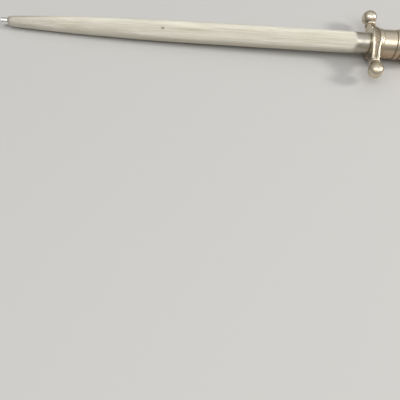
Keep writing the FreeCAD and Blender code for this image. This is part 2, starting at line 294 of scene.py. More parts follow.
def add_piece(name, rings, replaced, facts=None, closed=False):
    """A piece that stands for a CAD node and rides on the steel's one body."""
    piece = bpy.data.objects.new(name, ring_mesh(name, rings, facts, closed))
    bpy.context.scene.collection.objects.link(piece)
    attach(piece, "root")
    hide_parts(replaced)
    return piece


def softened(corners, radius, steps=5):
    """A profile of (x, radius) corners with each inner corner rounded off."""
    points = [corners[0]]
    for before, corner, after in zip(corners, corners[1:], corners[2:]):
        middle = np.array(corner, float)
        back, forth = np.array(before) - middle, np.array(after) - middle
        back_length, forth_length = np.linalg.norm(back), np.linalg.norm(forth)
        reach = min(radius, back_length * 0.45, forth_length * 0.45)
        start, end = middle + back / back_length * reach, middle + forth / forth_length * reach
        for t in np.linspace(0, 1, steps + 1):
            points.append(tuple((1 - t) ** 2 * start + 2 * t * (1 - t) * middle + t * t * end))
    points.append(corners[-1])
    return points


def turned(x, radius, around):
    """Rings about the axis, from a column of places and a column of radii, or a row of radii per ring."""
    angles = np.linspace(0, 2 * math.pi, around, endpoint=False)
    return np.stack([x * np.ones(around), radius * np.sin(angles), radius * np.cos(angles)], -1)


def lathe(profile, around):
    """Rings about the axis for a list of (x, radius)."""
    x, radius = (np.array(side, float)[:, None] for side in zip(*profile))
    return turned(x, radius, around)


def drill(piece, start, end, radius):
    """Cut a round hole through a piece along the steel's axis."""
    profile = [(start - DRILL_OVERRUN, radius), (end + DRILL_OVERRUN, radius)]
    bit = bpy.data.objects.new("drill", ring_mesh("drill", lathe(profile, DRILL_SIDES)))
    bpy.context.scene.collection.objects.link(bit)
    cut = piece.modifiers.new("hole", "BOOLEAN")
    cut.operation, cut.solver, cut.object = "DIFFERENCE", "EXACT", bit
    drilled = bpy.data.meshes.new_from_object(piece.evaluated_get(bpy.context.evaluated_depsgraph_get()))
    piece.modifiers.clear()
    undrilled, bit_mesh = piece.data, bit.data
    piece.data = drilled
    bpy.data.objects.remove(bit)
    for mesh in (undrilled, bit_mesh):
        bpy.data.meshes.remove(mesh)
    drilled.name = piece.name
    mark_place(drilled)


# ---- rod: rows of (x, radius, share of the full rib depth) ----
def nib_rows():
    """The polished nib, a small cylinder with rounded edges."""
    foot = (NOSE_FRONT, NOSE_RADIUS - NIB_FOOT_INSET)
    corners = [(ROD_TIP, POLE_RADIUS), (ROD_TIP, NIB_RADIUS), (NOSE_FRONT, NIB_RADIUS), foot]
    return [(x, radius, 0.0) for x, radius in softened(corners, NIB_EDGE_ROUND)]


def nose_rows():
    """The blunt nose behind the nib, where the ribs begin."""
    for t in np.linspace(0, 1, 10)[:-1]:
        rise = (OGIVE_START_RADIUS - NOSE_RADIUS) * t + 4 * NOSE_ROUNDNESS * t * (1 - t)
        radius = NOSE_RADIUS + rise - NOSE_EDGE_ROUND * (1 - t) ** 6
        yield NOSE_FRONT + NOSE_LENGTH * t, radius, RIB_SHARE_AT_OGIVE * ease(t * NOSE_RIB_RATE)


def ogive_rows():
    """The long taper, a parabola through its start, middle and shank radii."""
    for t in np.linspace(0, 1, 46)[:-1]:
        start, middle, end = (1 - t) * (1 - 2 * t), 4 * t * (1 - t), t * (2 * t - 1)
        radius = OGIVE_START_RADIUS * start + OGIVE_MIDDLE_RADIUS * middle + ROD_RADIUS * end
        ribbed = RIB_SHARE_AT_OGIVE + (1 - RIB_SHARE_AT_OGIVE) * ease(t * OGIVE_RIB_RATE)
        yield OGIVE_FRONT + OGIVE_LENGTH * t, min(radius, ROD_RADIUS), ribbed


def shank_rows():
    """The parallel shank, the slight taper where the ribs end, and the polished neck up to the guard."""
    for x in np.linspace(SHANK_FRONT, TAPER_FRONT, 20)[:-1]:
        yield x, ROD_RADIUS, 1.0
    for t in np.linspace(0, 1, 14):
        x = TAPER_FRONT + (NECK_FRONT - TAPER_FRONT) * t
        radius = ROD_RADIUS + (RIBS_END_RADIUS - ROD_RADIUS) * t
        yield x, radius, 1 - between(RIBS_FADE_FROM, 1.0, t)
    for t in np.linspace(0, 1, 16)[1:]:
        step = (NECK_RADIUS - RIBS_END_RADIUS) * ease(t * NECK_STEP_RATE)
        yield NECK_FRONT * (1 - t) - NECK_EDGE_LENGTH * t, RIBS_END_RADIUS + step, 0.0


def tang_rows():
    """The neck's back face, the stout tang root through guard and ferrule, and the slim tang behind it."""
    corners = [
        (0.0, NECK_RADIUS - NECK_EDGE_DROP),
        (0.0, TANG_ROOT_RADIUS),
        (FERRULE_BACK, TANG_ROOT_RADIUS),
        (FERRULE_BACK + TANG_CHAMFER, TANG_RADIUS),
        (TANG_BACK - TANG_CHAMFER, TANG_RADIUS),
        (TANG_BACK, TANG_RADIUS - TANG_CHAMFER),
        (TANG_BACK, POLE_RADIUS),
    ]
    return [(x, radius, 0.0) for x, radius in corners]


def ribbed_rod():
    """The rod with its real lengthwise ribs, their crests on the CAD radius."""
    rows = [*nib_rows(), *nose_rows(), *ogive_rows(), *shank_rows(), *tang_rows()]
    x, radius, ribbed = (np.array(column)[:, None] for column in zip(*rows))
    around = RIB_COUNT * POINTS_PER_RIB
    angles = np.linspace(0, 2 * math.pi, around, endpoint=False)
    groove = 0.5 - 0.5 * np.cos(RIB_COUNT * angles)
    depth = RIB_DEPTH * np.minimum(1, radius / ROD_RADIUS)
    rings = turned(x, radius - depth * ribbed * groove, around)
    facts = {"ribbed": ribbed * np.ones(around), "crest": ribbed * (1 - groove)}
    return add_piece("ribbed_rod", rings, "steel_rod", facts)


# ---- crossguard: stations of (reach, section, grime at each of its points) ----
def guard_sizes(reach):
    """Half thickness, half height, flute half width and edge rounding at a reach along the guard."""
    waisted = between(GUARD_FLAT_HALF_SPAN, WAIST_REACH, reach)
    flared = max(0.0, (reach - WAIST_REACH) / (ARM_REACH - WAIST_REACH)) ** ARM_FLARE_POWER
    half = GUARD_MIDDLE + (WAIST_HALF_THICKNESS - GUARD_MIDDLE) * waisted
    half += (ARM_HALF_THICKNESS - WAIST_HALF_THICKNESS) * flared
    height = GUARD_HALF_HEIGHT + (ARM_HALF_HEIGHT - GUARD_HALF_HEIGHT) * between(0, ARM_REACH, reach)
    closing = between(WAIST_REACH, ARM_REACH, reach)
    rim = RIM_WIDTH + (half - FLUTE_END_HALF_WIDTH - RIM_WIDTH) * closing
    rounding = RIM_ROUND + (ARM_END_ROUND - RIM_ROUND) * between(ARM_ROUND_FROM, ARM_REACH, reach)
    return half, height, max(FLUTE_END_HALF_WIDTH, half - rim), rounding


def guard_quarter(half, height, flute, rounding):
    """One quarter of a fluted section: up the side, round the rim, then down into the flute's middle."""
    depth = FLUTE_DEPTH * min(1.0, flute / FLUTE_FULL_DEPTH_HALF_WIDTH)
    outline = [(half, (height - rounding) * t) for t in np.linspace(0, 1, SIDE_POINTS)]
    for p in half * np.cos(np.linspace(0, math.pi / 2, TOP_POINTS + 1))[1:]:
        over = max(0.0, (p - (half - rounding)) / rounding)
        q = height - rounding + rounding * math.sqrt(max(0.0, 1 - over**2))
        inner = p / flute
        if inner < 1:
            q = min(q, height - depth * (1 - inner**FLUTE_POWER))
        outline.append((p, q))
    return outline


def whole_section(quarter):
    """A closed outline from one quarter, mirrored both ways."""
    upper = quarter + [(-p, q) for p, q in reversed(quarter[:-1])]
    return upper + [(p, -q) for p, q in reversed(upper[1:-1])]


def round_station(reach, radius, dirt_and_shade):
    """A station with a circular section, its points matched to a fluted one's."""
    low = np.linspace(0, math.pi / 4, SIDE_POINTS)
    high = math.pi / 4 + np.linspace(0, math.pi / 4, TOP_POINTS + 1)[1:]
    angles = np.concatenate([low, high])
    section = whole_section([(radius * math.cos(a), radius * math.sin(a)) for a in angles])
    return reach, section, [dirt_and_shade] * len(section)


def arm_stations():
    """From the guard's middle to the collar: fluted bar, waist and flaring arm, tucked in at its end."""
    bar = np.linspace(0, GUARD_FLAT_HALF_SPAN, 6)
    arm = np.linspace(GUARD_FLAT_HALF_SPAN, COLLAR_FRONT - ARM_TO_COLLAR_GAP, 44)
    for reach in np.concatenate([bar, arm[1:]]):
        half, height, flute, rounding = guard_sizes(reach)
        tuck = ARM_TUCK * between(COLLAR_FRONT - ARM_TUCK_LENGTH, COLLAR_FRONT, reach)
        section = whole_section(guard_quarter(half - tuck, height - tuck, flute, rounding))
        # grime and painted shade towards the collar and in the flute
        dirt_and_shade = between(COLLAR_FRONT - COLLAR_GRIME_AND_SHADE_WIDTH, COLLAR_FRONT, reach)
        dirty_and_shaded_half = flute * FLUTE_GRIME_AND_SHADE_WIDTH_SHARE
        dirty_and_shaded_from = height - FLUTE_DEPTH * FLUTE_GRIME_AND_SHADE_DEPTH_SHARE
        in_flute = [abs(p) < dirty_and_shaded_half and abs(q) > dirty_and_shaded_from for p, q in section]
        yield reach, section, [max(dirt_and_shade, FLUTE_GRIME_AND_SHADE * inside) for inside in in_flute]


def collar_stations():
    """The collar bead at the arm's end, dirty at its feet."""
    for angle in np.linspace(-math.pi / 2, math.pi / 2, 15):
        reach = ARM_REACH + COLLAR_HALF_WIDTH * math.sin(angle)
        radius = COLLAR_RADIUS - COLLAR_HALF_WIDTH * (1 - math.cos(angle))
        # The collar bead at the arm's end, with grime and painted shade at its feet.
        yield round_station(reach, radius, 1 - math.cos(angle) ** COLLAR_GRIME_AND_SHADE_POWER)


def ball_stations():
    """The necklet and the ball finial."""
    ball_start = BALL_REACH - math.sqrt(BALL_RADIUS**2 - NECKLET_RADIUS**2)
    for reach in np.linspace(COLLAR_BACK, ball_start, 5)[1:]:
        yield round_station(reach, NECKLET_RADIUS, 1.0)
    start_angle = math.asin(NECKLET_RADIUS / BALL_RADIUS)
    for angle in np.linspace(start_angle, math.pi - BALL_POLE_ANGLE, 42)[1:]:
        reach = BALL_REACH - BALL_RADIUS * math.cos(angle)
        # grime and painted shade at the ball's foot
        dirt_and_shade = 1 - between(start_angle, start_angle + BALL_GRIME_AND_SHADE_ANGLE, angle)
        yield round_station(reach, BALL_RADIUS * math.sin(angle), dirt_and_shade)


def fluted_crossguard():
    """One loft from ball to ball, drilled for the tang."""
    half_run = [*arm_stations(), *collar_stations(), *ball_stations()]
    run = [(-reach, *rest) for reach, *rest in reversed(half_run[1:])] + half_run
    rings = [[(GUARD_MIDDLE + p, reach, q) for p, q in reversed(section)] for reach, section, _ in run]
    facts = {"grime_and_shade": [dirt_and_shade[::-1] for _, _, dirt_and_shade in run]}
    guard = add_piece("fluted_crossguard", rings, "crossguard", facts)
    drill(guard, 0.0, GUARD_THICKNESS, TANG_ROOT_RADIUS + FIT_GAP)
    return guard


# ---- ferrule: profiles of (x, radius) ----
def band_profile(start, end, steps):
    """A plain band on the ferrule's radius."""
    return [(x, FERRULE_RADIUS) for x in np.linspace(start, end, steps)]


def bead_profile(x, width, rise, steps=9):
    """A rounded bead on the ferrule's radius from x on."""
    return [(x + width * t, FERRULE_RADIUS + rise * 4 * t * (1 - t)) for t in np.linspace(0, 1, steps)]


def groove_profile(start):
    """A turned groove with sloping sides and slightly rounded edges."""
    end = start + GROOVE_WIDTH
    bottom = FERRULE_RADIUS - GROOVE_DEPTH
    corners = [
        (start - GROOVE_SHOULDER, FERRULE_RADIUS),
        (start, FERRULE_RADIUS),
        (start + GROOVE_SLOPE, bottom),
        (end - GROOVE_SLOPE, bottom),
        (end, FERRULE_RADIUS),
        (end + GROOVE_SHOULDER, FERRULE_RADIUS),
    ]
    return softened(corners, GROOVE_EDGE_ROUND, 3)


def ringed_ferrule():
    """A drawn cup with a flange, cove, two turned grooves, a bead between them and a rolled lip."""
    flange_back = FERRULE_FRONT + FLANGE_WIDTH
    cove_back = flange_back + FLANGE_WIDTH
    first_groove = FERRULE_FRONT + GROOVE_AT
    bead = first_groove + GROOVE_WIDTH
    second_groove = bead + BEAD_WIDTH
    band = second_groove + GROOVE_WIDTH
    lip = FERRULE_BACK - LIP_WIDTH
    hole = TANG_ROOT_RADIUS + FIT_GAP
    flange = [
        (FERRULE_FRONT, hole),
        (FERRULE_FRONT, FLANGE_RADIUS),
        (flange_back, FLANGE_RADIUS),
        ((flange_back + cove_back) / 2, FERRULE_RADIUS + (FLANGE_RADIUS - FERRULE_RADIUS) / 4),
        (cove_back, FERRULE_RADIUS),
    ]
    profile = [
        *softened(flange, FLANGE_EDGE_ROUND),
        *band_profile(cove_back + BAND_INSET, first_groove - BAND_INSET, 12),
        *groove_profile(first_groove),
        *bead_profile(bead + BEAD_INSET, BEAD_WIDTH - 2 * BEAD_INSET, BEAD_RISE),
        *groove_profile(second_groove),
        *band_profile(band + BAND_INSET, lip - LIP_INSET, 6),
        *bead_profile(lip, LIP_WIDTH, LIP_RISE),
        (FERRULE_BACK, FERRULE_BORE_RADIUS),
        (FERRULE_INSIDE, FERRULE_BORE_RADIUS),
        (FERRULE_INSIDE, hole),
    ]
    along, radius = np.array(profile).T
    # grime and painted shade in the grooves and the cove
    in_groove = between(FERRULE_RADIUS - GROOVE_GRIME_AND_SHADE_FROM, FERRULE_RADIUS - GROOVE_DEPTH, radius)
    in_cove = between(*np.add(flange_back, COVE_GRIME_AND_SHADE_RISE), along)
    in_cove = in_cove * (1 - between(*np.add(cove_back, COVE_GRIME_AND_SHADE_FADE), along))
    facts = {"grime_and_shade": np.repeat(np.maximum(in_groove, COVE_GRIME_AND_SHADE * in_cove), AROUND_METAL)}
    rings = lathe(profile, AROUND_METAL)
    return add_piece("ringed_ferrule", rings, "ferrule", facts, closed=True)


# ---- stag handle ----
def gradient_noise(across, along, length, cells, seed):
    """Smooth noise of about -1 to 1 over the handle, closing on itself round it.

    Its lumps are length millimetres long, with so many cells of them round the handle."""
    column_place, row_place = across * cells, along / length
    rng = np.random.default_rng(seed)
    turn = rng.uniform(0, 2 * math.pi, (int(row_place.max()) + 2, cells))
    lean_x, lean_y = np.cos(turn), np.sin(turn)
    column, row = np.floor(column_place).astype(int), np.floor(row_place).astype(int)
    fx, fy = column_place - column, row_place - row
    total = 0.0
    for dx in (0, 1):
        for dy in (0, 1):
            i, j = row + dy, (column + dx) % cells
            weight = ease(fx if dx else 1 - fx) * ease(fy if dy else 1 - fy)
            total = total + weight * (lean_x[i, j] * (fx - dx) + lean_y[i, j] * (fy - dy))
    return total * NOISE_GAIN


def wandering(across, along):
    """The place round the handle, shifted so that the furrows run in waves."""
    shift = 0.03 * gradient_noise(across, along, 48, 4, 11)
    shift += 0.007 * gradient_noise(across, along, 11, 14, 12)
    shift += 0.0022 * gradient_noise(across, along, 3.1, 40, 13)
    return (across + shift) % 1.0


def crease(noise, width):
    """1 along the lines where a noise is zero, fading within a width of them."""
    return np.exp(-((noise / width) ** 2))


def bark_cover(across, along):
    """1 on the bark, easing to 0 over the slanting, ragged edges of the filed ivory ends."""
    turn = 2 * math.pi * across
    front = FRONT_IVORY + FRONT_SLANT * np.cos(turn - FRONT_SLANT_TURN)
    front += 2.2 * gradient_noise(across, along, 60, 7, 41) + 1.3 * gradient_noise(across, along, 6, 30, 42)
    butt = BUTT_IVORY + BUTT_SLANT * np.cos(turn - BUTT_SLANT_TURN)
    butt += 3.0 * gradient_noise(across, along, 60, 7, 43) + 1.6 * gradient_noise(across, along, 6, 30, 44)
    cover = between(front - BARK_EDGE_OUT, front + BARK_EDGE_IN, along)
    return cover * between(butt - BARK_EDGE_OUT, butt + BARK_EDGE_IN, GRIP_LENGTH - along)


def bark(across, along):
    """How deep the antler's surface lies below its crests, and masks for colouring it.

    across runs 0 to 1 round the handle, along is millimetres from its front end."""
    u = wandering(across, along)
    broad = gradient_noise(u, along, 105, 11, 21) + 0.07 * gradient_noise(u, along, 8, 30, 22)
    middle = gradient_noise(u, along, 64, 25, 23) + 0.10 * gradient_noise(u, along, 6, 44, 24)
    fine = gradient_noise(u, along, 24, 56, 25) + 0.12 * gradient_noise(u, along, 3, 80, 27)
    pearls = gradient_noise(u, along, 2.6, 72, 26)
    rough = between(-0.3, 0.25, gradient_noise(across, along, 48, 5, 31))
    broad = crease(broad, 0.045)
    middle = crease(middle, 0.075) * (0.6 + 0.4 * rough)
    fine = crease(fine, 0.13) * (0.3 + 0.7 * rough)
    cover = bark_cover(across, along)
    swell = 0.5 + 0.5 * gradient_noise(across, along, 44, 6, 51)
    depth = BROAD_FURROW_DEPTH * broad + MIDDLE_FURROW_DEPTH * middle + FINE_FURROW_DEPTH * fine
    depth = depth + PEARL_DEPTH * rough * (0.5 - 0.5 * pearls)
    depth = depth * (0.8 + 0.35 * rough) + SWELL_DEPTH * swell
    furrow = np.clip(0.95 * broad + 0.75 * middle + 0.45 * fine, 0, 1)
    return depth * cover, {"bark": cover, "furrow": furrow * cover, "rough": rough, "pearls": pearls}


def oval(half_width, half_height, around):
    """Points of the handle's oval of four tangent arcs, evenly spaced, and their outward normals."""
    broad = OVAL_ARC_SHARE * half_height
    tight = (2 * broad * half_height - half_width**2 - half_height**2) / (2 * (broad - half_width))
    join = math.atan2(half_width - tight, broad - half_height)
    lean = np.linspace(0, 2 * math.pi, OVAL_SAMPLES, endpoint=False)
    sine, cosine = np.sin(lean), np.cos(lean)
    on_broad = np.abs(sine) < math.sin(join)
    y = np.where(on_broad, broad * sine, np.sign(sine) * (half_width - tight) + tight * sine)
    z = np.where(on_broad, broad * cosine - np.sign(cosine) * (broad - half_height), tight * cosine)
    steps = np.hypot(np.diff(y, append=y[0]), np.diff(z, append=z[0]))
    length = np.concatenate([[0], np.cumsum(steps)])
    even = np.linspace(0, length[-1], around, endpoint=False)
    lean_even = np.interp(even, length, np.append(lean, 2 * math.pi))
    y_even = np.interp(even, length, np.append(y, y[0]))
    z_even = np.interp(even, length, np.append(z, z[0]))
    return y_even, z_even, np.sin(lean_even), np.cos(lean_even)


def butt_ring(x, grow, around, share=1.0):
    """The butt's oval at x, its half sizes grown by some millimetres and then scaled by a share."""
    y, z, _, _ = oval(GRIP_BUTT_HALF_WIDTH + grow, GRIP_BUTT_HALF_HEIGHT + grow, around)
    return np.stack([np.full(around, x), BUTT_OFFSET + y * share, z * share], -1)


def grip_sizes(x):
    """The antler's centre, half width and half height at a distance along the axis."""
    share = (x - GRIP_FRONT) / GRIP_LENGTH
    width = GRIP_FRONT_HALF_WIDTH + (GRIP_BUTT_HALF_WIDTH - GRIP_FRONT_HALF_WIDTH) * share**GRIP_WIDTH_FLARE
    height_gain = (GRIP_BUTT_HALF_HEIGHT - GRIP_FRONT_HALF_HEIGHT) * share**GRIP_HEIGHT_FLARE
    height = GRIP_FRONT_HALF_HEIGHT + height_gain
    centre = GRIP_BOW * math.sin(math.pi * share) + BUTT_OFFSET * share
    front = min(1.0, (x - GRIP_FRONT) / GRIP_ROUNDING)
    butt = min(1.0, (GRIP_BACK - x) / GRIP_ROUNDING)
    eased = 1 - GRIP_FRONT_ROUNDING_SHARE * (1 - front) ** 2 - GRIP_BUTT_ROUNDING_SHARE * (1 - butt) ** 2
    return centre, width * eased, height * eased


def bark_rings():
    """The antler's outside from the ferrule to the cap, and its colouring masks."""
    x_rows = np.concatenate([
        GRIP_FRONT + GRIP_ROUNDING * np.linspace(0, 1, GRIP_END_RINGS)[:-1] ** 2,
        np.linspace(GRIP_FRONT + GRIP_ROUNDING, GRIP_BACK - GRIP_ROUNDING, GRIP_BODY_RINGS),
        GRIP_BACK - GRIP_ROUNDING * np.linspace(1, 0, GRIP_END_RINGS)[1:] ** 2,
    ])
    across = np.linspace(0, 1, AROUND_GRIP, endpoint=False)
    depth, masks = bark(*np.meshgrid(across, x_rows - GRIP_FRONT))
    rings = []
    for x, sunk in zip(x_rows, depth):
        centre, width, height = grip_sizes(x)
        y, z, ny, nz = oval(width, height, AROUND_GRIP)
        rings.append(np.stack([np.full(AROUND_GRIP, x), centre + y - sunk * ny, z - sunk * nz], -1))
    return rings, masks


def stag_handle():
    """The antler: an oval, bowed grip with furrowed bark, ivory ends, spigots and the drilled tang hole."""
    rings, masks = bark_rings()
    spigot = [butt_ring(x, -CAP_WALL - SPIGOT_GAP, AROUND_GRIP) for x in (GRIP_BACK, SPIGOT_BACK)]
    tang_hole = TANG_RADIUS + FIT_GAP
    bores = lathe([
        (SPIGOT_BACK, COUNTERBORE_RADIUS),
        (COUNTERBORE_FRONT, COUNTERBORE_RADIUS),
        (COUNTERBORE_FRONT, tang_hole),
        (CEMENT_END, tang_hole),
        (CEMENT_END, CEMENT_RADIUS),
        (FERRULE_INSIDE, CEMENT_RADIUS),
        (FERRULE_INSIDE, FERRULE_BORE_RADIUS),
        (GRIP_FRONT, FERRULE_BORE_RADIUS),
    ], AROUND_GRIP)
    bare = np.zeros((len(spigot) + len(bores), AROUND_GRIP))
    facts = {key: np.concatenate([values, bare]) for key, values in masks.items()}
    return add_piece("stag_handle", [*rings, *spigot, *bores], "stag_grip", facts, closed=True)


# ---- butt cap ----
def butt_cap_shell():
    """The shallow oval cap: flared wall, rounded edge and flat end."""
    edge = -CAP_EDGE_ROUND * 2
    outline = [(GRIP_BACK, -CAP_WALL), (GRIP_BACK, 0.0), (CAP_BACK, CAP_FLARE), (CAP_BACK, edge)]
    rings = [butt_ring(CAP_INSIDE, -CAP_WALL, AROUND_METAL, share) for share in (POLE_SHARE, 0.5, 1.0)]
    rings += [butt_ring(x, grow, AROUND_METAL) for x, grow in softened(outline, CAP_EDGE_ROUND, 8)]
    face_shares = (0.8, 0.6, 0.4, 0.2, POLE_SHARE)
    rings += [butt_ring(CAP_BACK, edge, AROUND_METAL, share) for share in face_shares]
    return add_piece("butt_cap_shell", rings, "butt_cap")


# ---- materials ----
def colour(red, green, blue):
    """An opaque colour."""
    return (red, green, blue, 1.0)


class Painter:
    """Builds one procedural material, whose patterns are laid out in axis-frame millimetres.

    CAD nodes have no place attribute, so on them the patterns use object coordinates, in metres."""

    def __init__(self, name, on_cad_node=False, **surface):
        self.material = bpy.data.materials.new(name)
        self.material.use_nodes = True
        self.tree = self.material.node_tree
        self.shader = self.tree.nodes["Principled BSDF"]
        if on_cad_node:
            self.place = self.node("TexCoord").outputs["Object"]
        else:
            self.place = self.node("Attribute", attribute_name="place").outputs["Vector"]
        for key, value in surface.items():
            self.set(key.replace("_", " "), value)

    def set(self, key, value):
        """Give one of the shader's inputs a value or a link."""
        self.fill(self.shader.inputs[key], value)

    def fill(self, socket, value):
        """Link a socket if the value is another node's output, or set it otherwise."""
        if isinstance(value, bpy.types.NodeSocket):
            self.tree.links.new(value, socket)
        else:
            socket.default_value = value

    def node(self, kind, inputs=None, **settings):
        """A new shader node with its settings and inputs."""
        made = self.tree.nodes.new("ShaderNode" + kind)
        for key, value in settings.items():
            setattr(made, key, value)
        for key, value in (inputs or {}).items():
            self.fill(made.inputs[key], value)
        return made

    def fact(self, name):
        """A number that the mesh carries at each point, or 0 where it doesn't."""
        return self.node("Attribute", attribute_name=name).outputs["Fac"]

    def stretched(self, scale, vector):
        """A vector multiplied by a scale for each axis."""
        return self.node("VectorMath", {0: vector, 1: scale}, operation="MULTIPLY").outputs[0]

    def noise(self, lumps, detail=3.0, rough=0.5, distortion=0.0):
        """Noise of about 0 to 1, with so many lumps per unit of length on each axis."""
        inputs = {"Vector": self.stretched(lumps, self.place), "Scale": 1.0}
        inputs.update({"Detail": detail, "Roughness": rough, "Distortion": distortion})
        return self.node("TexNoise", inputs).outputs["Fac"]

    def near(self, centre, scale, reach):
        """1 at a point of the steel, fading to 0 at a reach measured along stretched axes."""
        offset = self.node("VectorMath", {0: self.place, 1: centre}, operation="SUBTRACT").outputs[0]
        length = self.node("VectorMath", {0: self.stretched(scale, offset)}, operation="LENGTH")
        return self.span(length.outputs["Value"], (reach, 0.0))

    def span(self, value, source, target=(0.0, 1.0)):
        """A value eased from the source range onto the target range, and held beyond its ends."""
        inputs = {"Value": value, "From Min": source[0], "From Max": source[1]}
        inputs.update({"To Min": target[0], "To Max": target[1]})
        return self.node("MapRange", inputs, interpolation_type="SMOOTHSTEP").outputs["Result"]

    def along(self, places, target=(0.0, 1.0)):
        """A number easing over the target range between two places along the axis."""
        return self.span(self.node("SeparateXYZ", {0: self.place}).outputs["X"], places, target)

    def underside(self, heights, most):
        """0 above the first height over the steel's axis, rising to most below the second."""
        return self.span(self.node("SeparateXYZ", {0: self.place}).outputs["Z"], heights, (0.0, most))

    def math(self, operation, first, second):
        """The two numbers put together by one of Blender's math operations."""
        return self.node("Math", {0: first, 1: second}, operation=operation).outputs[0]

    def mix(self, share, first, second):
        """A number on the way from the first to the second."""
        return self.node("Mix", {0: share, 2: first, 3: second}).outputs[0]

    def blend(self, share, first, second):
        """A colour on the way from the first to the second."""
        return self.node("Mix", {0: share, 6: first, 7: second}, data_type="RGBA").outputs[2]

    def bump(self, height, depth_mm, strength):
        """Fine relief of a depth, on top of the real geometry."""
        inputs = {"Height": height, "Distance": depth_mm * MM, "Strength": strength}
        self.set("Normal", self.node("Bump", inputs).outputs["Normal"])


STEEL = colour(0.72, 0.70, 0.61)
STEEL_PALE = colour(0.87, 0.855, 0.775)
# tarnish colour, also used as painted shade on the rod's underside
STEEL_TARNISH_AND_SHADE = colour(0.47, 0.405, 0.31)
STEEL_NECK = colour(0.56, 0.53, 0.46)
STEEL_NIB = colour(0.93, 0.93, 0.90)
RUST = colour(0.20, 0.125, 0.07)
RUST_SPECK_AT = (-112.0, -3.0, 4.8)
TARNISH_TRAIL_AT = (-97.0, -3.0, 4.8)
MOTTLE_THINS_BY = -115.0
SHADE_FULL_FROM = -120.0
NIB_EDGE_BLEND = 0.3


def steel_colour(p, streak, nib, speck):
    """Streaked pale steel with cloudy tarnish, darker between the ribs, with painted shade, partly tarnish,
    on the rod's underside.
    """
    ribbed = p.fact("ribbed")
    base = p.blend(p.span(streak, (0.38, 0.62)), STEEL, STEEL_PALE)
    cloud = p.span(p.noise((0.03, 0.22, 0.22), 3.0, 0.55), (0.52, 0.78))
    tarnish = p.math("MULTIPLY", cloud, p.span(streak, (0.3, 0.65), (0.15, 0.75)))
    base = p.blend(tarnish, base, STEEL_TARNISH_AND_SHADE)
    towards_tip = p.along((ROD_TIP, MOTTLE_THINS_BY), (1.0, 0.55))
    mottle = p.math("MULTIPLY", p.noise((0.22, 0.8, 0.8), 4.0, 0.7), towards_tip)
    base = p.blend(p.span(mottle, (0.42, 0.75), (0.0, 0.55)), base, STEEL_TARNISH_AND_SHADE)
    in_grooves = p.math("MULTIPLY", p.span(p.fact("crest"), (0.0, 0.7), (0.45, 0.0)), ribbed)
    base = p.blend(in_grooves, base, STEEL_TARNISH_AND_SHADE)
    polished = p.blend(nib, STEEL_NECK, STEEL_NIB)
    base = p.blend(p.math("SUBTRACT", 1.0, ribbed), base, polished)
    # painted shade, partly tarnish: the rod's underside darkens, fading out towards the tip
    from_tip = p.along((ROD_TIP, SHADE_FULL_FROM), (0.15, 1.0))
    shade = p.math("MULTIPLY", p.underside((2.0, -3.5), 0.6), from_tip)
    base = p.blend(shade, base, STEEL_TARNISH_AND_SHADE)
    trail = p.near(TARNISH_TRAIL_AT, (0.055, 1.1, 1.1), 1.0)
    trail = p.math("MULTIPLY", trail, p.span(streak, (0.3, 0.6), (0.2, 0.55)))
    base = p.blend(trail, base, STEEL_TARNISH_AND_SHADE)
    return p.blend(p.math("MULTIPLY", speck, 0.7), base, RUST)


def ribbed_steel():
    """Worn sharpening steel: matte ribs with lengthwise streaks, a rust speck, polished nib and neck."""
    p = Painter("ribbed_steel")
    ribbed = p.fact("ribbed")
    streak = p.noise((0.035, 2.2, 2.2), 4.0, 0.6)
    nib = p.along((NOSE_FRONT, NOSE_FRONT + NIB_EDGE_BLEND), (1.0, 0.0))
    speck = p.near(RUST_SPECK_AT, (0.8, 1.1, 1.1), 1.25)
    p.set("Base Color", steel_colour(p, streak, nib, speck))
    p.set("Metallic", p.span(ribbed, (0.0, 1.0), (1.0, 0.62)))
    matte = p.span(p.noise((0.08, 1.4, 1.4)), (0.3, 0.7), (0.46, 0.62))
    worn = p.span(p.noise((0.6, 0.3, 0.3), 2.0), (0.3, 0.7), (0.3, 0.42))
    polish = p.math("SUBTRACT", worn, p.math("MULTIPLY", nib, 0.1))
    p.set("Roughness", p.math("ADD", p.mix(ribbed, polish, matte), p.math("MULTIPLY", speck, 0.3)))
    p.bump(p.noise((0.05, 9.0, 9.0), 2.0), 0.02, 0.3)
    return p.material


SILVER = colour(0.75, 0.69, 0.57)
SILVER_WARM = colour(0.68, 0.55, 0.385)
# brown for the painted shade, partly tarnish, on the metal's underside
SILVER_BROWN_SHADE = colour(0.38, 0.265, 0.165)
# grime colour, which also paints shade in the recesses
GRIME_AND_SHADE = colour(0.2, 0.155, 0.105)
UNDERSIDE_SHADE_DROP = 7.5
TURNING_MARKS = (5.0, 0.3, 0.3)


